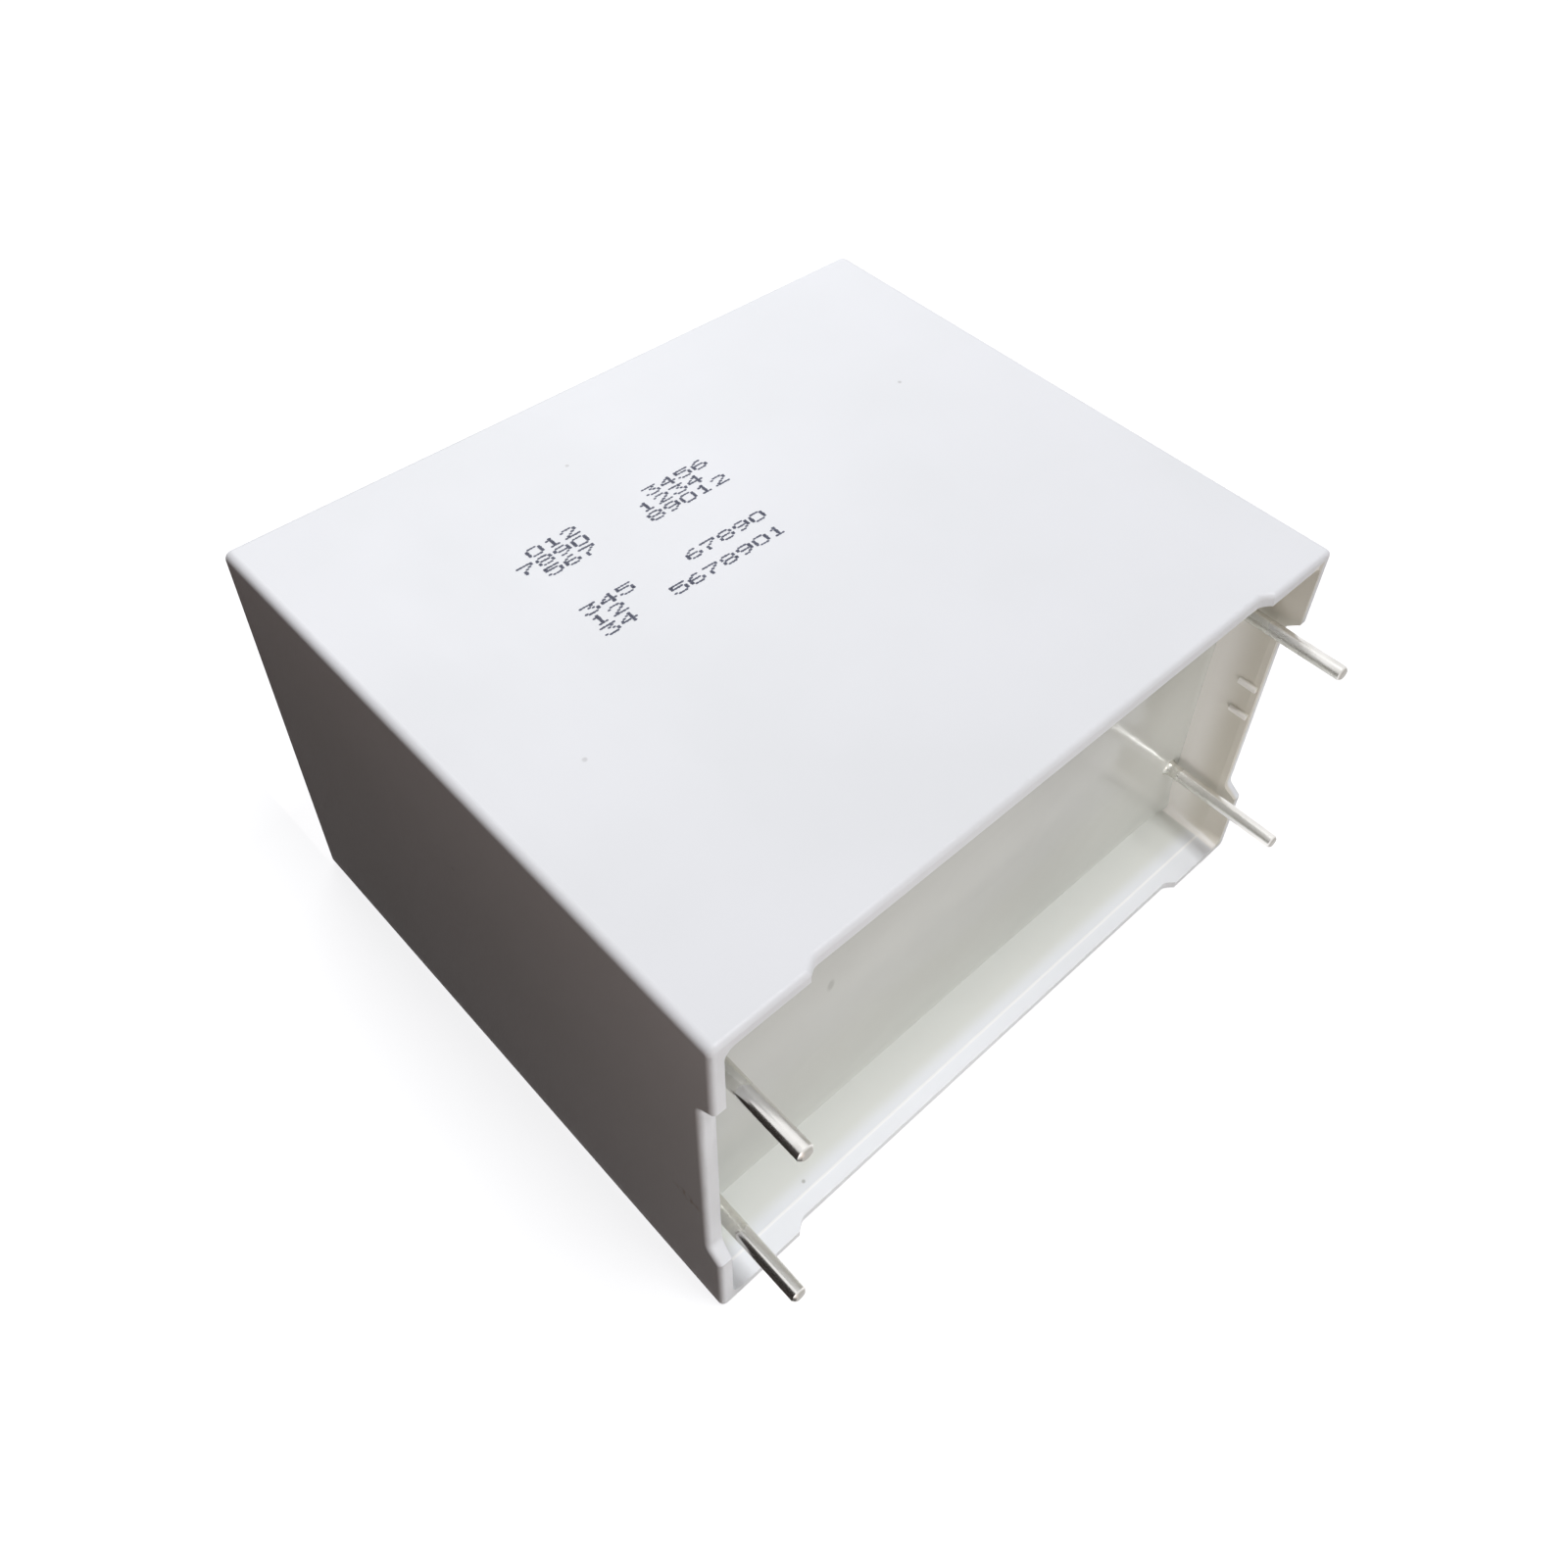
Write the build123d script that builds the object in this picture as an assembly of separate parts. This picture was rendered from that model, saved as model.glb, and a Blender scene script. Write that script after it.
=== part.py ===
from build123d import *
import math
import os

# Box film capacitor with four wire leads, in millimetres. It lies on one broad side: X runs along its length, -Y is
# the way the leads leave, and Z is its thickness. The origin is the middle of the broad side that it rests on.

# Case, one moulding, open on the lead side
length = 57.5
height = 50.0
thickness = 35.0
wall = 1.25
closed_wall = 1.5
corner_radius = 0.6
closed_end_radius = 0.4
cavity_corner_radius = 0.6
cavity_floor_radius = 0.5

# Stand-off feet at the four corners of the rim, left by cutting back the rim between them, and the soft outer edge.
# An edge is an outer one if it lies within outer_edge_share of the wall from the outside.
foot_length = 7.0
long_side_cut = 0.6
short_side_cut = 1.2
foot_slope_run = 0.9
foot_step_radius = 0.8
rim_edge_radius = 0.4
outer_edge_share = 0.3

# Chamfer round the inside of the rim
mouth_chamfer_depth = 1.7
mouth_chamfer_width = 0.25

# Two short ribs inside one end wall, just below the rim, a little nearer to one broad side
rib_length = 1.6
rib_width = 0.5
rib_height = 0.4
rib_spacing = 3.2
rib_pair_offset = 0.9
rib_end_gap = 0.1
rib_top_radius = 0.15

# Potting resin
resin_recess = 5.9

# Leads, round wire with a flattened root welded to the end metal
lead_radius = 0.6
lead_inset = 2.5
lead_row_pitch = 20.3
lead_protrusion = 4.9
lead_tip_chamfer = 0.2
lead_shank_embed = 0.1
blade_width = 1.7
blade_thickness = 0.7
blade_set_in = 0.125
blade_length = 18.0
root_transition_length = 1.6

# Two flattened film windings, one per row of leads, each in a plain film wrap with sprayed metal ends. The resin covers
# them on the lead side by resin_cover.
resin_cover = 3.3
winding_side_clearance = 0.5
winding_gap = 0.3
winding_end_clearance = 0.8
wrap_thickness = 0.25
end_metal_thickness = 0.6

# One overrun serves every cut that runs past a face
overrun = 2.0

# The leads' two sides and two rows, by their direction from the middle
SIDES = {"left": -1, "right": 1}
ROWS = {"lower": -1, "upper": 1}

# Places that follow from the sizes above
middle_z = thickness / 2
seat_y = -height / 2
closed_y = height / 2
floor_y = closed_y - closed_wall
resin_y = seat_y + resin_recess
tip_y = seat_y - lead_protrusion
cavity_length = length - 2 * wall
cavity_thickness = thickness - 2 * wall
lead_x = length / 2 - lead_inset
blade_x = lead_x - blade_set_in
winding_length = 2 * (blade_x - blade_thickness / 2 - end_metal_thickness)
unit_thickness = (cavity_thickness - 2 * winding_side_clearance - winding_gap) / len(ROWS)
winding_thickness = unit_thickness - 2 * wrap_thickness
unit_top_y = floor_y - winding_end_clearance
unit_width = unit_top_y - resin_y - resin_cover
winding_width = unit_width - 2 * wrap_thickness
unit_y = unit_top_y - unit_width / 2


def mouth_plane(y):
    """A section plane across the box at y, facing the closed end."""
    return Plane(origin=(0, y, middle_z), x_dir=(1, 0, 0), z_dir=(0, 1, 0))


def section(extra):
    """The hollow's rounded section, wider by extra on every side."""
    return RectangleRounded(
        cavity_length + 2 * extra, cavity_thickness + 2 * extra, cavity_corner_radius + extra
    )


def make_cavity():
    """The hollow that the resin fills, from the seat to the closed wall."""
    hollow = extrude(mouth_plane(seat_y) * section(0), floor_y - seat_y)
    return fillet(hollow.faces().sort_by(Axis.Y)[-1].edges(), cavity_floor_radius)


def make_mouth_chamfer():
    """The cutter for the chamfer inside the rim, which narrows until it is inside the hollow."""
    angle = math.degrees(math.atan2(mouth_chamfer_width, mouth_chamfer_depth))
    return extrude(mouth_plane(seat_y) * section(mouth_chamfer_width), 2 * mouth_chamfer_depth, taper=angle)


def rim_cut_profile(side_length, depth):
    """Outline of the cut between two feet: across the side, and up from the seat to the lowered rim."""
    half_open = side_length / 2 - foot_length
    half_floor = half_open - foot_slope_run
    outline = Polyline(
        (-half_open, -overrun),
        (-half_open, 0),
        (-half_floor, depth),
        (half_floor, depth),
        (half_open, 0),
        (half_open, -overrun),
        close=True,
    )
    face = make_face(outline)
    steps = face.vertices().filter_by_position(Axis.Y, 0, depth)
    return fillet(steps, foot_step_radius)


def make_rim_cuts():
    """Both cuts that leave the feet: one through the two long walls, one through the two end walls."""
    through_long_walls = Plane(origin=(0, seat_y, -overrun), x_dir=(1, 0, 0), z_dir=(0, 0, 1))
    through_end_walls = Plane(
        origin=(-length / 2 - overrun, seat_y, middle_z), x_dir=(0, 0, -1), z_dir=(1, 0, 0)
    )
    long_cut = extrude(through_long_walls * rim_cut_profile(length, long_side_cut), thickness + 2 * overrun)
    end_cut = extrude(through_end_walls * rim_cut_profile(thickness, short_side_cut), length + 2 * overrun)
    return [long_cut, end_cut]


def make_rib(z):
    """One short rib on the inside of the right end wall, rooted in the wall."""
    root = wall / 2
    rib = Box(rib_height + root, rib_length, rib_width)
    rib = fillet(rib.edges().filter_by(Axis.Y).group_by(Axis.X)[0], rib_top_radius)
    start_y = seat_y + short_side_cut + rib_end_gap
    return Pos(cavity_length / 2 + (root - rib_height) / 2, start_y + rib_length / 2, z) * rib


def outer_rim_edges(shell):
    """The edges where the rim and the feet meet the outside of the box."""
    margin = outer_edge_share * wall
    rim_reach = seat_y + max(long_side_cut, short_side_cut) + rim_edge_radius

    def is_outer_rim(edge):
        middle = edge.center()
        on_outside = abs(middle.X) > length / 2 - margin or abs(middle.Z - middle_z) > thickness / 2 - margin
        return on_outside and edge.bounding_box().max.Y < rim_reach

    return shell.edges().filter_by(is_outer_rim)


def make_case():
    """The moulded box with its feet, mouth chamfer and two ribs."""
    closed_plane = Plane(origin=(0, closed_y, middle_z), x_dir=(1, 0, 0), z_dir=(0, -1, 0))
    shell = extrude(closed_plane * RectangleRounded(length, thickness, corner_radius), height)
    shell = fillet(shell.faces().sort_by(Axis.Y)[-1].edges(), closed_end_radius)
    shell = shell - make_cavity() - make_mouth_chamfer()
    for cut in make_rim_cuts():
        shell -= cut
    shell = fillet(outer_rim_edges(shell), rim_edge_radius)
    for row in ROWS.values():
        shell += make_rib(middle_z + rib_pair_offset + row * rib_spacing / 2)
    return shell


def unit_z(row):
    """Middle of one winding unit through the thickness."""
    return middle_z + row * (unit_thickness + winding_gap) / 2


def flat_roll(width, roll_thickness, x, z, run):
    """A flattened roll's section at x, run along X."""
    plane = Plane(origin=(x, unit_y, z), x_dir=(0, 1, 0), z_dir=(1, 0, 0))
    return extrude(plane * SlotOverall(width, roll_thickness), run)


def make_winding(row):
    return flat_roll(winding_width, winding_thickness, -winding_length / 2, unit_z(row), winding_length)


def make_wrap(row):
    """A few turns of plain film round one winding."""
    around = flat_roll(unit_width, unit_thickness, -winding_length / 2, unit_z(row), winding_length)
    return around - make_winding(row)


def make_end_metal(row, side):
    """The sprayed metal layer on one end of one winding."""
    x = winding_length / 2 if side > 0 else -winding_length / 2 - end_metal_thickness
    return flat_roll(winding_width, winding_thickness, x, unit_z(row), end_metal_thickness)


def make_lead(row, side):
    """A round wire that is pressed flat under the resin, where it lies on the end metal."""
    z = middle_z + row * lead_row_pitch / 2
    shank_end_y = resin_y + lead_shank_embed
    blade_start_y = shank_end_y + root_transition_length

    def across(x, y):
        return Plane(origin=(side * x, y, z), x_dir=(1, 0, 0), z_dir=(0, 1, 0))

    shank = extrude(across(lead_x, tip_y) * Circle(lead_radius), shank_end_y - tip_y)
    shank = chamfer(shank.faces().sort_by(Axis.Y)[0].edges(), lead_tip_chamfer)
    wire_square = across(lead_x, shank_end_y) * Rectangle(2 * lead_radius, 2 * lead_radius)
    blade_section = across(blade_x, blade_start_y) * Rectangle(blade_thickness, blade_width)
    blade_reach = math.hypot(blade_set_in + blade_thickness / 2, blade_width / 2)
    rounding = Cone(
        lead_radius, blade_reach, root_transition_length, align=(Align.CENTER, Align.CENTER, Align.MIN)
    )
    root = loft([wire_square, blade_section], ruled=True) & across(lead_x, shank_end_y) * rounding
    return shank + root + extrude(blade_section, blade_length)


def make_resin(inside):
    """The cast block: the hollow up to the resin's level, less everything that is cast into it."""
    depth = floor_y - resin_y + overrun
    below_level = Pos(0, resin_y + depth / 2, middle_z) * Box(length, depth, thickness)
    block = make_cavity() & below_level
    for piece in inside:
        block -= piece
    return block


def make_parts():
    parts = {"case": make_case()}
    for row_name, row in ROWS.items():
        parts[f"winding_{row_name}"] = make_winding(row)
        parts[f"film_wrap_{row_name}"] = make_wrap(row)
        for side_name, side in SIDES.items():
            parts[f"end_metal_{row_name}_{side_name}"] = make_end_metal(row, side)
            parts[f"lead_{row_name}_{side_name}"] = make_lead(row, side)
    cast_in = [shape for name, shape in parts.items() if name != "case"]
    parts["potting_resin"] = make_resin(cast_in)
    return parts


os.makedirs("parts", exist_ok=True)
for node, shape in make_parts().items():
    export_step(shape, f"parts/{node}.step")
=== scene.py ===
import math
import random

import bmesh
import bpy
from mathutils import Matrix, Vector


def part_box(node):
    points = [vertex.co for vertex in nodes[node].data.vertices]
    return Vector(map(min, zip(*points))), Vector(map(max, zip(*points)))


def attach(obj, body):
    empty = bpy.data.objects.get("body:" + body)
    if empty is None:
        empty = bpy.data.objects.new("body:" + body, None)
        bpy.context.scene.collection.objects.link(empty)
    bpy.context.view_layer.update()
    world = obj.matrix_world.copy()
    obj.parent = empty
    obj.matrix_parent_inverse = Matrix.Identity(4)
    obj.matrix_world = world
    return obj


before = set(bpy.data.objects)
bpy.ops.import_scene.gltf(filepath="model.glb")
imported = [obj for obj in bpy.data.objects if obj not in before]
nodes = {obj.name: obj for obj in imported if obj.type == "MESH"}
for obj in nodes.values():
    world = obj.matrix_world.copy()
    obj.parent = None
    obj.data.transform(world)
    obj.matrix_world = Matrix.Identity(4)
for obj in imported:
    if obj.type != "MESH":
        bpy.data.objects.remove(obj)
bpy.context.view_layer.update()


# Case: one injection moulding in white polyester, open on the lead side, with fine spark-eroded grain all over.
# Handling has left a few grey specks and a scuff on the end wall. In the mouth a painted highlight runs along the
# chamfer's edge; painted shade darkens the lower wall by the resin, and the right wall by the rim except on its ribs.
MM = 0.001


class Wire:
    """One socket of a shader. Arithmetic on it adds Math nodes, and node() adds any other node."""

    def __init__(self, tree, socket=None):
        self.tree = tree
        self.socket = socket

    def node(self, kind, settings, links, output=0):
        """A new node with its settings, and with a value or a wire for each socket that links names."""
        made = self.tree.nodes.new("ShaderNode" + kind)
        for name, value in settings.items():
            setattr(made, name, value)
        for name, value in links.items():
            if isinstance(value, Wire):
                self.tree.links.new(value.socket, made.inputs[name])
            else:
                made.inputs[name].default_value = value
        return Wire(self.tree, made.outputs[output])

    def maths(self, operation, *values):
        """A new Math node on wires and numbers."""
        return self.node("Math", {"operation": operation}, dict(enumerate(values)))

    def __add__(self, other):
        return self.maths("ADD", self, other)

    def __sub__(self, other):
        return self.maths("SUBTRACT", self, other)

    def __rsub__(self, other):
        return self.maths("SUBTRACT", other, self)

    def __mul__(self, other):
        return self.maths("MULTIPLY", self, other)

    def __abs__(self):
        return self.maths("ABSOLUTE", self)

    __radd__ = __add__
    __rmul__ = __mul__


def start_finish(name, **constants):
    """A new material with one Principled shader, its place in the object's own frame, and a way to join the two."""
    material = bpy.data.materials.new(name)
    material.use_nodes = True
    tree = material.node_tree
    shader = tree.nodes["Principled BSDF"]
    for socket, value in constants.items():
        shader.inputs[socket.replace("_", " ")].default_value = value
    place = Wire(tree).node("TexCoord", {}, {}, "Object")

    def join(socket, wire):
        tree.links.new(wire.socket, shader.inputs[socket])

    return material, place, join


def noise(place, scale, detail=2.0, rough=0.5):
    """Fractal noise from 0 to 1 with about scale lumps a metre."""
    return place.node("TexNoise", {}, {"Vector": place, "Scale": scale, "Detail": detail, "Roughness": rough})


def stretched(place, scales):
    """The same place with each axis scaled, so that a pattern on it is drawn out or pressed together."""
    return place.node("Mapping", {}, {"Vector": place, "Scale": scales})


def streaks(place, scales, detail):
    """Noise with its own number of lumps a metre along each axis."""
    return noise(stretched(place, scales), 1, detail)


def band(wire, low, high):
    """0 below low and 1 above high, with a soft step between."""
    return wire.node(
        "MapRange", {"interpolation_type": "SMOOTHSTEP"}, {"Value": wire, "From Min": low, "From Max": high}
    )


def past(wire, step):
    """The same soft step along a length in metres, with its two ends given in millimetres."""
    low, high = step
    return band(wire, low * MM, high * MM)


def blend(mask, one, other):
    """The colour one where mask is 0 and other where it is 1."""
    return mask.node("Mix", {"data_type": "RGBA"}, {0: mask, 6: one, 7: other}, 2)


def bump(height, depth, strength):
    """A normal from a height between 0 and 1 that stands depth millimetres tall."""
    return height.node("Bump", {}, {"Height": height, "Distance": depth * MM, "Strength": strength})


def dots(place, scale, edge, patch_scale, patch):
    """Scattered round dots, about scale cells of them a metre, kept only in the patches where a noise is high."""
    from_dot = place.node("TexVoronoi", {}, {"Vector": place, "Scale": scale})
    return (1 - band(from_dot, *edge)) * band(noise(place, patch_scale, detail=1), *patch)


def spot(place, middle, radius, squash=(1, 1, 1), core=0.35):
    """1 within a core share of radius from middle, fading to 0 at radius, in millimetres. Squash narrows it."""
    centre = tuple(along * factor * MM for along, factor in zip(middle, squash))
    apart = place.node("VectorMath", {"operation": "DISTANCE"}, {0: stretched(place, squash), 1: centre}, 1)
    return 1 - past(apart, (radius * core, radius))


def paint(names, finish):
    """Gives one finish to carried-over nodes."""
    for name in names:
        for slot in nodes[name].material_slots:
            slot.material = finish


plastic_white = (0.83, 0.85, 0.885, 1)
plastic_shade = (0.80, 0.822, 0.85, 1)
speck_grey = (0.24, 0.23, 0.22, 1)
scuff_brown = (0.50, 0.44, 0.40, 1)
# These four are painted light: shade by the resin, a highlight on the chamfer's edge, and shade and light on the right
# wall
deep_shade_cream = (0.735, 0.75, 0.715, 1)
highlight_white = (0.93, 0.935, 0.94, 1)
shade_beige = (0.68, 0.652, 0.58, 1)
lit_pale = (0.93, 0.915, 0.885, 1)

case_left = -28.75
case_middle_z = 17.5
case_top = 35.0
case_lower_wall = 1.25

# Single specks: the middle and the radius of each in millimetres, and how far it is from white to grey
SPECKS = (
    ((-19.1, -22.6, case_lower_wall), 0.2, 0.75),
    ((-21.7, -5.3, case_top), 0.24, 0.3),
    ((19.3, 8.9, case_top), 0.22, 0.35),
    ((-6.2, 17.4, case_top), 0.2, 0.3),
)
scuff_middle = (case_left, -22.1, 13.1)
scuff_radius = 1.3
scuff_squash = (1, 0.8, 1.9)

# Where the hollow, the painted shade and the painted highlight in the mouth start and end, as the two ends of a soft
# step in millimetres. The hollow's are measured from the middle of the box, and the highlight's from its own middle.
hollow_end = (27.8, 28.2)
hollow_side = (16.6, 17.0)
resin_start = (-18.8, -18.6)
deep_shade_front = (-23.1, -21.7)
deep_shade_top = (1.5, 2.2)
highlight_y = -23.3
highlight_fade = (0.05, 0.15)
right_wall = (26.6, 26.9)
rib_foot = (27.2, 27.45)
shading_back = (-23.0, -20.0)

case_finish, place, join = start_finish("white_polyester")
cloud = noise(place, 55, detail=3)
tone = blend(band(cloud, 0.3, 0.75), plastic_white, plastic_shade)
specks = dots(place, 140, edge=(0.02, 0.05), patch_scale=260, patch=(0.66, 0.7))
tone = blend(specks * 0.6, tone, speck_grey)
for middle, radius, share in SPECKS:
    tone = blend(spot(place, middle, radius) * share, tone, speck_grey)
scuff = spot(place, scuff_middle, scuff_radius, scuff_squash)
scratches = band(noise(place, 1900), 0.4, 0.65)
tone = blend(scuff * scratches * 0.7, tone, scuff_brown)

x, y, z = (place.node("SeparateXYZ", {}, {0: place}, axis) for axis in range(3))
inside = (1 - past(abs(x), hollow_end)) * (1 - past(abs(z - case_middle_z * MM), hollow_side))
in_mouth = inside * (1 - past(y, resin_start))
# Painted shade: the lower wall darker and creamier near the resin, deep in the mouth
deep_shade = past(y, deep_shade_front) * in_mouth * (1 - past(z, deep_shade_top))
tone = blend(deep_shade, tone, deep_shade_cream)
# Painted highlight: a pale line along the chamfer's edge in the mouth
edge_highlight = (1 - past(abs(y - highlight_y * MM), highlight_fade)) * inside
tone = blend(edge_highlight, tone, highlight_white)
# Painted shade on the right wall near the rim, and painted light on its ribs and further in
right_wall_shading = blend(past(y, shading_back) + (1 - past(x, rib_foot)), shade_beige, lit_pale)
tone = blend(in_mouth * past(x, right_wall), tone, right_wall_shading)
join("Base Color", tone)

rubbed = streaks(place, (300, 60, 300), detail=3)
join("Roughness", 0.36 + rubbed * 0.12 + cloud * 0.06)
grain = noise(place, 5200, detail=3, rough=0.6)
sink = noise(place, 70, detail=1)
join("Normal", bump(grain * 0.06 + sink, depth=0.12, strength=0.35))
paint(["case"], case_finish)


# Print: two blocks of small figures laid on the broad side by an ink jet, each one a field of dots five wide and
# seven tall. The jet moves fast along the box, so the figures are wider than tall and no two dots quite match.
def add_piece(name, shape, finish, smooth=False):
    """Turns a finished bmesh into an object of the scene, with its mesh and its one finish."""
    for face in shape.faces:
        face.smooth = smooth
    mesh = bpy.data.meshes.new(name)
    shape.to_mesh(mesh)
    shape.free()
    mesh.materials.append(finish)
    piece = bpy.data.objects.new(name, mesh)
    bpy.context.scene.collection.objects.link(piece)
    return piece


# The seven lines of each figure from the top, with a bit for each of the five dots in a line
FIGURES = {
    "0": (14, 17, 17, 17, 17, 17, 14),
    "1": (4, 12, 4, 4, 4, 4, 14),
    "2": (14, 17, 1, 2, 4, 8, 31),
    "3": (31, 2, 4, 2, 1, 17, 14),
    "4": (2, 6, 10, 18, 31, 2, 2),
    "5": (31, 16, 30, 1, 1, 17, 14),
    "6": (6, 8, 16, 30, 17, 17, 14),
    "7": (31, 1, 2, 4, 8, 8, 8),
    "8": (14, 17, 17, 14, 17, 17, 14),
    "9": (14, 17, 17, 15, 1, 2, 12),
}
# The y of each row and the x of its first figure, in millimetres, and the row's figures
PRINT_ROWS = (
    (11.5, -13.25, "012"),
    (11.35, -3.35, "3456"),
    (10.35, -14.65, "7890"),
    (10.2, -4.7, "1234"),
    (9.2, -13.3, "567"),
    (9.05, -4.75, "89012"),
    (4.6, -13.8, "345"),
    (4.3, -5.35, "67890"),
    (3.45, -13.9, "12"),
    (2.3, -13.9, "34"),
    (2.3, -8.2, "5678901"),
)
ink_height = 0.012
figure_pitch = 1.44
dot_columns, dot_lines = 5, 7
dot_step_x, dot_step_y = 0.25, 0.13
dot_half_x, dot_half_y = 0.15, 0.088
dot_stray_x, dot_stray_y = 0.015, 0.01
smallest_dot, largest_dot = 0.88, 1.12
dot_corners = 8
ink_dark = (0.045, 0.05, 0.085, 1)
ink_thin = (0.11, 0.12, 0.175, 1)


def inked_dots(figure):
    """Where each dot of a figure stands, counted in dots to the right of the figure's middle and above it."""
    for line, bits in enumerate(FIGURES[figure]):
        for column in range(dot_columns):
            if bits >> (dot_columns - 1 - column) & 1:
                yield column - dot_columns // 2, dot_lines // 2 - line


ink_finish, place, join = start_finish("grey_ink", Roughness=0.55)
join("Base Color", blend(noise(place, 900), ink_dark, ink_thin))
join("Normal", bump(noise(place, 9000), depth=0.01, strength=0.3))

jet = random.Random(7)
ink_dots = bmesh.new()
for row_y, row_x, figures in PRINT_ROWS:
    for count, figure in enumerate(figures):
        for across, up in inked_dots(figure):
            x = row_x + count * figure_pitch + across * dot_step_x + jet.uniform(-dot_stray_x, dot_stray_x)
            y = row_y + up * dot_step_y + jet.uniform(-dot_stray_y, dot_stray_y)
            size = jet.uniform(smallest_dot, largest_dot)
            stand = Matrix.Translation(Vector((x, y, case_top + ink_height)) * MM)
            stand = stand @ Matrix.Diagonal((dot_half_x * size * MM, dot_half_y * size * MM, 1, 1))
            bmesh.ops.create_circle(ink_dots, cap_ends=True, segments=dot_corners, radius=1, matrix=stand)
figure_print = add_piece("figure_print", ink_dots, ink_finish)
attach(figure_print, "root")


# Windings: two flattened rolls of plastic film with a metal coat a few atoms thick, wound, pressed and baked. A few
# turns of plain film hold each one closed. They are cast in, so none of this shows until the box is cut open.
coat_grey = (0.55, 0.56, 0.58, 1)
coat_silver = (0.78, 0.79, 0.80, 1)
wrap_amber = (0.80, 0.79, 0.70, 1)
wrap_clear = (0.88, 0.88, 0.82, 1)

film_finish, place, join = start_finish("metallised_film", Metallic=0.75)
turns = streaks(place, (40, 9000, 9000), detail=2)
join("Base Color", blend(turns, coat_grey, coat_silver))
join("Roughness", 0.2 + turns * 0.2)
join("Normal", bump(turns, depth=0.03, strength=0.4))
paint(["winding_lower", "winding_upper"], film_finish)

wrap_finish, place, join = start_finish("plain_film", IOR=1.6)
creases = streaks(place, (30, 500, 500), detail=3)
join("Base Color", blend(creases, wrap_amber, wrap_clear))
join("Roughness", 0.12 + creases * 0.14)
join("Normal", bump(creases, depth=0.08, strength=0.35))
paint(["film_wrap_lower", "film_wrap_upper"], wrap_finish)


# End metal: molten zinc sprayed on the wound edges at both ends of each roll, so that it bites into every turn and
# joins them all. It sets as a rough grey crust.
corners = ["lower_left", "lower_right", "upper_left", "upper_right"]
zinc_dark = (0.34, 0.35, 0.36, 1)
zinc_pale = (0.62, 0.63, 0.64, 1)

spray_finish, place, join = start_finish("sprayed_zinc", Metallic=0.85)
crust = noise(place, 3800, detail=4, rough=0.65)
join("Base Color", blend(crust, zinc_dark, zinc_pale))
join("Roughness", 0.5 + crust * 0.3)
join("Normal", bump(crust, depth=0.15, strength=0.9))
paint([f"end_metal_{corner}" for corner in corners], spray_finish)


# Leads: copper wire, hot tinned and drawn through a die, so it is bright with faint lines along it and a slightly
# wavy coat. Each root is pressed flat and welded to the end metal; the free end is sheared and tumbled.
tin_bright = (0.86, 0.845, 0.82, 1)
tin_dull = (0.70, 0.685, 0.655, 1)
# The cut end's dark brown is partly bare copper and partly painted shade, for the dark that the end mirrors
cut_end_and_shade_brown = (0.36, 0.34, 0.31, 1)
sheared_end = (-29.85, -29.7)

tin_finish, place, join = start_finish("tinned_wire", Metallic=1.0)
drawn = streaks(place, (9000, 250, 9000), detail=2)
coat = streaks(place, (700, 330, 700), detail=2)
dull = band(noise(place, 420), 0.45, 0.8)
along = place.node("SeparateXYZ", {}, {0: place}, 1)
sheared = 1 - past(along, sheared_end)
join("Base Color", blend(sheared * 0.85, blend(dull, tin_bright, tin_dull), cut_end_and_shade_brown))
join("Roughness", 0.2 + drawn * 0.07 + dull * 0.08 + sheared * 0.2)
join("Normal", bump(coat + drawn * 0.05, depth=0.09, strength=0.14))
paint([f"lead_{corner}" for corner in corners], tin_finish)


# Potting resin: pale grey polyurethane poured to within a few millimetres of the rim. Its skin is level and glossy,
# it creeps up the walls and the corners while it sets, and it keeps a few pits where bubbles broke.
resin_low, resin_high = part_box("potting_resin")
skin_gap = 0.02 * MM
skin_y = resin_low.y - skin_gap
skin_half_x = (resin_high.x - resin_low.x) / 2
skin_half_z = (resin_high.z - resin_low.z) / 2
skin_middle_z = (resin_high.z + resin_low.z) / 2
skin_columns, skin_rows = 180, 120
# How high the resin creeps at the walls and in the corners, and how far off it starts
wall_rise, wall_reach = 0.15 * MM, 0.3 * MM
corner_rise, corner_reach = 0.5 * MM, 1.2 * MM
# How deep its skin sags between, and how fast that waves along each side
sag_depth = 0.05 * MM
sag_x, sag_z = 210, 330

resin_grey = (0.635, 0.655, 0.62, 1)
resin_pale = (0.66, 0.68, 0.645, 1)
pit_grey = (0.30, 0.30, 0.27, 1)
pit_middle = (-13.9, resin_low.y / MM, 17.7)
pit_radius = 0.45
pit_squash = (1, 1, 0.55)


def towards_ends(share):
    """Moves a place from -1 to 1 on towards the nearer end, so that the grid is finest at the walls."""
    return 1.5 * share - 0.5 * share**3


resin_finish, place, join = start_finish("cast_resin", Specular_IOR_Level=0.32)
haze = noise(place, 75, detail=3)
pits = dots(place, 210, edge=(0.03, 0.09), patch_scale=170, patch=(0.62, 0.68))
large_pit = spot(place, pit_middle, pit_radius, pit_squash)
tone = blend(band(haze, 0.3, 0.7), resin_grey, resin_pale)
join("Base Color", blend(pits * 0.45 + large_pit * 0.4, tone, pit_grey))
join("Roughness", 0.09 + noise(place, 420, detail=3) * 0.1)
join("Normal", bump(noise(place, 120) - pits * 0.25, depth=0.2, strength=0.3))
paint(["potting_resin"], resin_finish)

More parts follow.
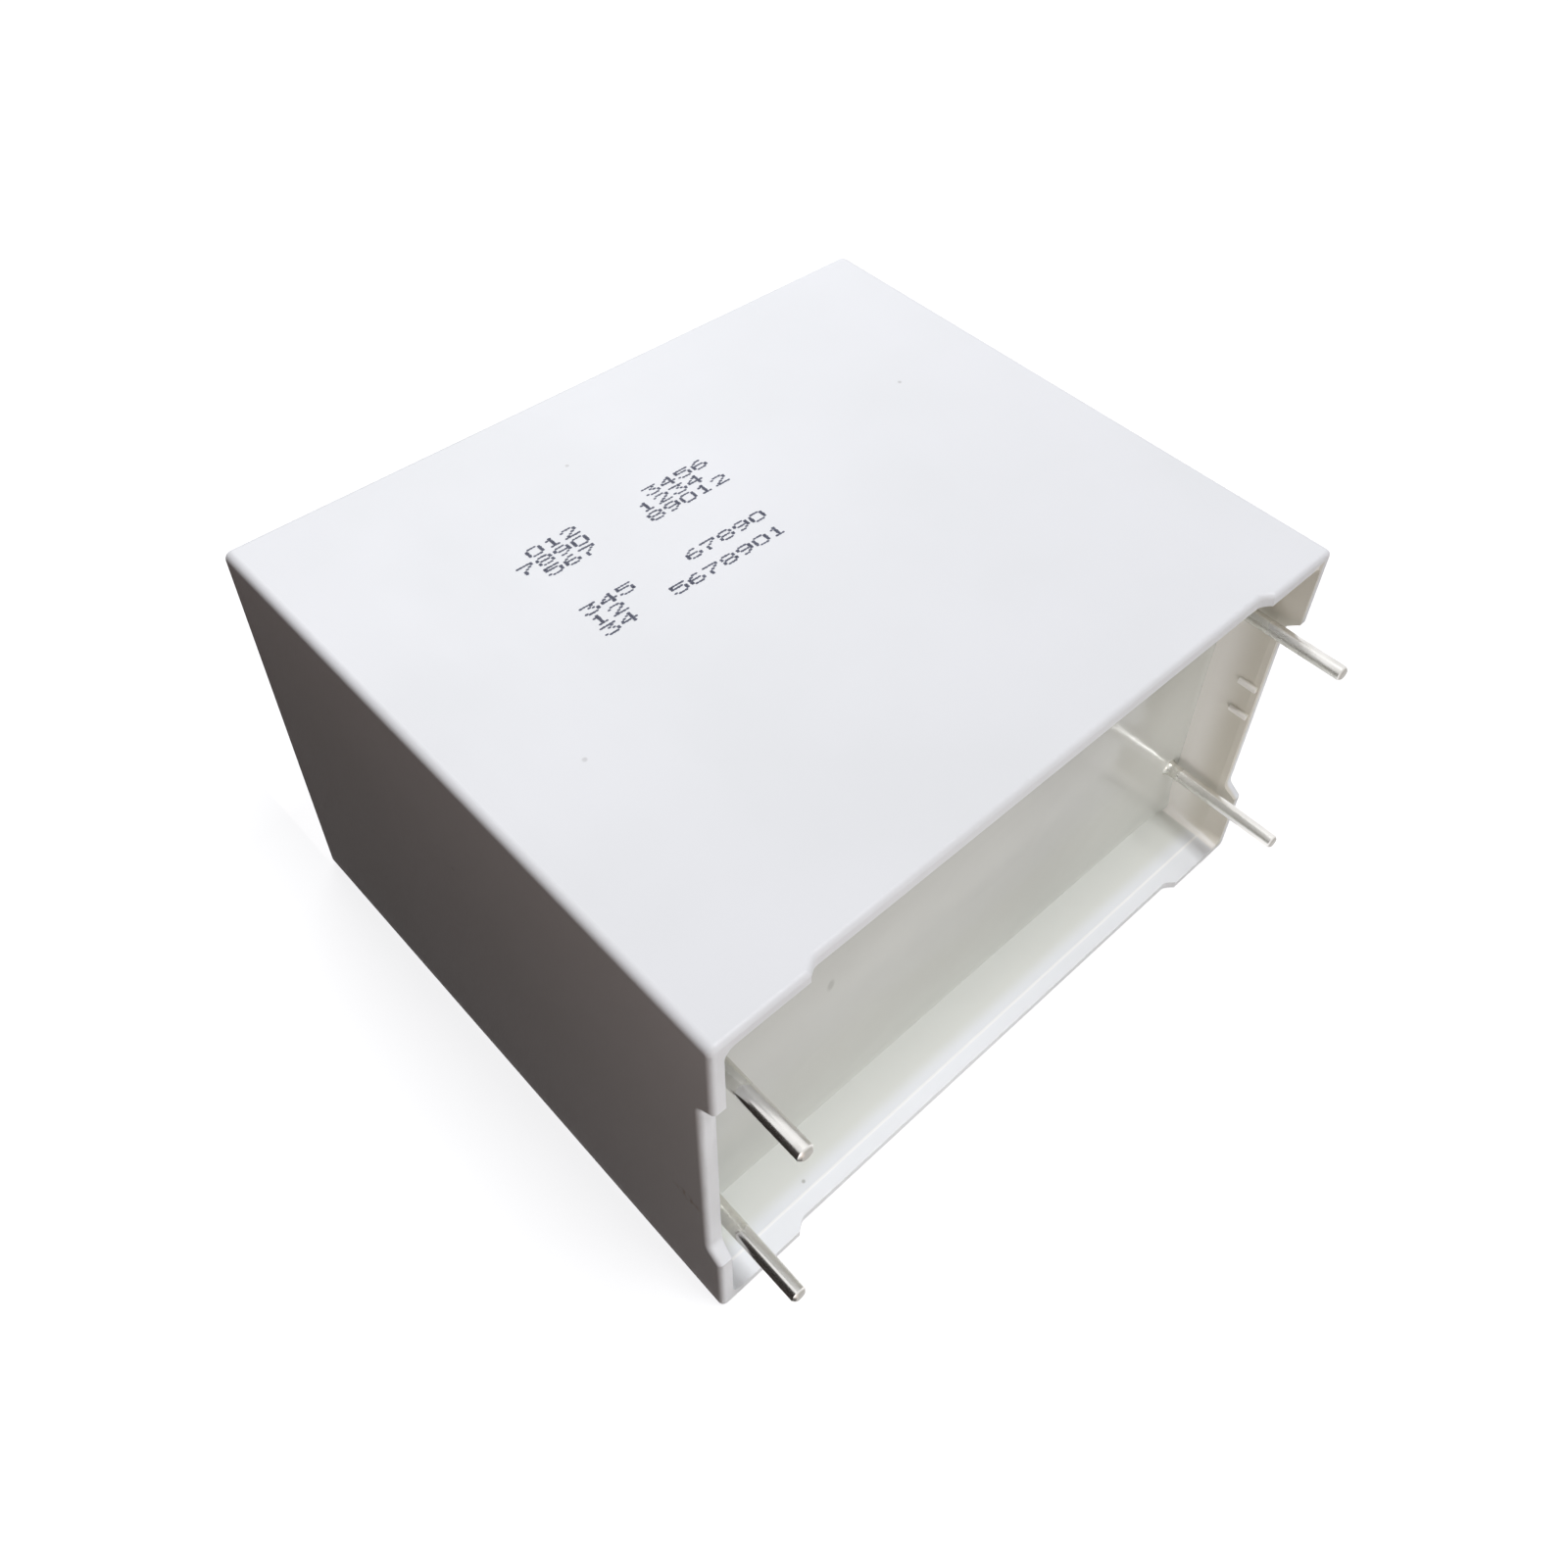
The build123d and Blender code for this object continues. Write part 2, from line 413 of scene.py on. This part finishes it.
skin = bmesh.new()
bmesh.ops.create_grid(skin, x_segments=skin_columns, y_segments=skin_rows, size=1)
for vertex in skin.verts:
    x = skin_half_x * towards_ends(vertex.co.x)
    z = skin_half_z * towards_ends(vertex.co.y)
    to_end, to_side = skin_half_x - abs(x), skin_half_z - abs(z)
    creep = wall_rise * math.exp(-min(to_end, to_side) / wall_reach)
    corner_creep = corner_rise * math.exp(-math.hypot(to_end, to_side) / corner_reach)
    sag = sag_depth * math.sin(x * sag_x + 1) * math.sin(z * sag_z + 2)
    vertex.co = (x, skin_y - creep - corner_creep + sag, skin_middle_z + z)
resin_skin = add_piece("resin_skin", skin, resin_finish, smooth=True)
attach(resin_skin, "root")


# Wetted roots: as the resin rises round a lead it clings to the wire, and leaves a cream film with a flared foot
# and a ragged end. One sleeve each, turned about the lead and then pulled a little out of true.
film_cream = (0.70, 0.69, 0.63, 1)
film_pale = (0.80, 0.79, 0.74, 1)

# Where each film ends along its lead, in millimetres
film_ends = {"lower_left": -24.7, "lower_right": -20.4, "upper_left": -24.6, "upper_right": -23.8}
# The outline's radius, with how far it is inside the resin, in millimetres, and then with its share of the length
flared_foot = ((0.95, 0.05), (0.76, -0.05), (0.67, -0.16), (0.635, -0.4))
thinning_film = ((0.622, 0.4), (0.616, 0.75), (0.606, 0.97), (0.59, 1))
sleeve_steps = 40
# The shares of the length where the end starts to be ragged, and by which it strays
ragged_from = 0.3
ragged_by = 0.09


def string_points(shape, places):
    """Adds a vertex at each place, and an edge from each to the next."""
    row = [shape.verts.new(place) for place in places]
    for one, other in zip(row, row[1:]):
        shape.edges.new((one, other))


root_finish, place, join = start_finish("resin_film", Metallic=0.8)
clot = noise(place, 1400, detail=3)
join("Base Color", blend(clot, film_cream, film_pale))
join("Roughness", 0.16 + clot * 0.14)
join("Normal", bump(clot, depth=0.12, strength=0.5))

for count, (corner, film_end) in enumerate(film_ends.items()):
    low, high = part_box(f"lead_{corner}")
    lead_x, lead_z = (low.x + high.x) / 2, (low.z + high.z) / 2
    reach = resin_low.y - film_end * MM
    outline = [(radius * MM, inwards * MM) for radius, inwards in flared_foot]
    outline += [(radius * MM, -reach * share) for radius, share in thinning_film]
    sleeve = bmesh.new()
    string_points(sleeve, [(lead_x + radius, resin_low.y + inwards, lead_z) for radius, inwards in outline])
    bmesh.ops.spin(
        sleeve,
        geom=sleeve.verts[:] + sleeve.edges[:],
        cent=(lead_x, 0, lead_z),
        axis=(0, 1, 0),
        angle=2 * math.pi,
        steps=sleeve_steps,
        use_merge=True,
    )
    bmesh.ops.remove_doubles(sleeve, verts=sleeve.verts, dist=1e-7)
    for vertex in sleeve.verts:
        turn = math.atan2(vertex.co.z - lead_z, vertex.co.x - lead_x)
        down = max(0.0, (resin_low.y - ragged_from * reach) - vertex.co.y) / reach
        ragged = math.sin(turn + count * 1.7) + 0.5 * math.sin(3 * turn + count)
        vertex.co.y += down * ragged_by * reach * ragged
    bmesh.ops.recalc_face_normals(sleeve, faces=sleeve.faces)
    wetted_root = add_piece(f"wetted_root_lead_{corner}", sleeve, root_finish, smooth=True)
    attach(wetted_root, "root")


# Floor: plain white paper under the box, whiter further off. Camera, mirror and clear rays see it nearly glow, so it
# stays white and still takes the box's soft shadow; the light that it throws back on the box is held low and warm.
def clear_shader(owner):
    """An empty shader for a material or the world."""
    owner.use_nodes = True
    owner.node_tree.nodes.clear()
    return Wire(owner.node_tree)


def seen_directly(wire):
    """1 for camera, mirror and clear rays, and 0 for the rays that carry light."""
    camera, mirror, clear = (
        wire.node("LightPath", {}, {}, ray) for ray in ("Is Camera Ray", "Is Glossy Ray", "Is Transmission Ray")
    )
    return wire.maths("MAXIMUM", wire.maths("MAXIMUM", camera, mirror), clear)


def show_either(wire, lighting, shown, kind):
    """Ends a shader that looks like shown where it is seen directly, and gives light as lighting does."""
    surface = wire.node("MixShader", {}, {0: seen_directly(wire), 1: lighting, 2: shown})
    output = wire.tree.nodes.new("ShaderNodeOutput" + kind)
    wire.tree.links.new(surface.socket, output.inputs["Surface"])


paper_half = 1500
paper_gap = 0.05
# How far from the box the paper starts to whiten and is white, in millimetres
whitening = (150, 600)
paper_near = (0.86, 0.86, 0.87, 1)
paper_far = (1, 1, 1, 1)
paper_matt = (0.3, 0.3, 0.3, 1)
paper_to_box = (0.40, 0.375, 0.345, 1)

paper = bpy.data.materials.new("white_paper")
wire = clear_shader(paper)
place = wire.node("TexCoord", {}, {}, "Object")
from_box = place.node("VectorMath", {"operation": "LENGTH"}, {0: place}, 1)
paper_white = blend(past(from_box, whitening), paper_near, paper_far)
glow = wire.node("Emission", {}, {"Color": paper_white, "Strength": 1.0})
matt = wire.node("BsdfDiffuse", {}, {"Color": paper_matt})
bright = wire.node("AddShader", {}, {0: glow, 1: matt})
held = wire.node("BsdfDiffuse", {}, {"Color": paper_to_box})
show_either(wire, held, bright, "Material")

paper_sheet = bmesh.new()
bmesh.ops.create_grid(paper_sheet, x_segments=1, y_segments=1, size=paper_half * MM)
bmesh.ops.translate(paper_sheet, verts=paper_sheet.verts, vec=(0, 0, -paper_gap * MM))
floor = add_piece("floor", paper_sheet, paper)


# Light: two soft boxes overhead, in front of the box and behind it, leave its left end wall in shade. A warm fill and
# four very small boxes, two of them narrow beams, stand for what the table and the mouth's own walls throw back on the
# rim and the resin. A dark card on the left keeps the end wall dark and gives the bright leads their dark band.
overhead_white = (0.985, 1.0, 1.015)
fill_warm = (1.0, 0.86, 0.8)
near_cool = (0.95, 1.0, 1.03)
side_warm = (1.0, 0.97, 0.93)
beam_warm = (1.0, 0.99, 0.97)

# The name of each lamp; its place, aim, width and depth in millimetres; its watts and colour; whether glossy surfaces
# mirror it; and how wide it shines in degrees
SOFT_BOXES = (
    ("over_light", (30, -120, 420), (30, -120, 0), 110, 150, 1.1, overhead_white, True, 180),
    ("back_light", (50, 150, 190), (50, 150, 0), 140, 140, 0.24, overhead_white, True, 180),
    ("fill_light", (-100, -130, 30), (-20, -20, 15), 50, 50, 0.025, fill_warm, True, 180),
    ("near_light", (-12, -75, 14), (-12, 0, 14), 30, 24, 0.006, near_cool, False, 180),
    ("side_light", (-10, -50, 17), (27.5, -19, 17), 30, 30, 0.0015, side_warm, False, 180),
    ("left_light", (-24, -62, 17), (-34, -25, 17), 4, 34, 0.0003, beam_warm, False, 30),
    ("right_light", (19, -60, 14), (23, -19, 14), 14, 20, 0.00018, beam_warm, False, 30),
)
for name, place, aim, width, depth, watts, shade, mirrored, beam in SOFT_BOXES:
    lamp = bpy.data.lights.new(name, "AREA")
    lamp.shape = "RECTANGLE"
    lamp.size = width * MM
    lamp.size_y = depth * MM
    lamp.energy = watts
    lamp.color = shade
    lamp.spread = math.radians(beam)
    stand = bpy.data.objects.new(name, lamp)
    stand.location = Vector(place) * MM
    stand.rotation_euler = (Vector(place) - Vector(aim)).to_track_quat("Z", "Y").to_euler()
    stand.visible_glossy = mirrored
    stand.visible_camera = False
    bpy.context.scene.collection.objects.link(stand)

# The card's profile in x and z, drawn out along y from its front end
card_profile = ((-28.9, 0.05), (-38, 0.2), (-46, 6), (-49, 41))
card_front = -45
card_length = 120
card_dark = (0.016, 0.011, 0.009, 1)
card_pale = (0.03, 0.022, 0.018, 1)

card_finish, place, join = start_finish("dark_card", Roughness=0.8)
join("Base Color", blend(noise(place, 300), card_dark, card_pale))

card = bmesh.new()
string_points(card, [(x * MM, card_front * MM, z * MM) for x, z in card_profile])
grown = bmesh.ops.extrude_edge_only(card, edges=card.edges[:])
moved = [item for item in grown["geom"] if isinstance(item, bmesh.types.BMVert)]
bmesh.ops.translate(card, verts=moved, vec=(0, card_length * MM, 0))
dark_card = add_piece("dark_card", card, card_finish)
dark_card.visible_camera = dark_card.visible_shadow = False

room_warm = (0.104, 0.077, 0.069, 1)
backdrop_white = (1, 1, 1, 1)

world = bpy.data.worlds.new("studio")
bpy.context.scene.world = world
wire = clear_shader(world)
dim = wire.node("Background", {}, {"Color": room_warm, "Strength": 1.0})
white = wire.node("Background", {}, {"Color": backdrop_white, "Strength": 1.0})
show_either(wire, dim, white, "World")
bpy.context.scene.view_settings.view_transform = "Standard"


# Camera: close above the front left corner, where the photograph was taken from. Its place, turn, lens and shift were
# worked out from the box's edges and leads in the photograph.
eye = (-0.05117, -0.05431, 0.10357)
right = Vector((0.71240, -0.69984, 0.05207))
up = Vector((0.48002, 0.54006, 0.69131))
back = right.cross(up).normalized()

camera_data = bpy.data.cameras.new("camera")
camera_data.sensor_width = 36
camera_data.lens = 33.81
camera_data.shift_x = -0.0542
camera_data.shift_y = -0.0885
camera_data.clip_start = 0.001
camera = bpy.data.objects.new("camera", camera_data)
bpy.context.scene.collection.objects.link(camera)
turned = Matrix((right, up, back)).transposed().to_4x4()
camera.matrix_world = Matrix.Translation(eye) @ turned
bpy.context.scene.camera = camera
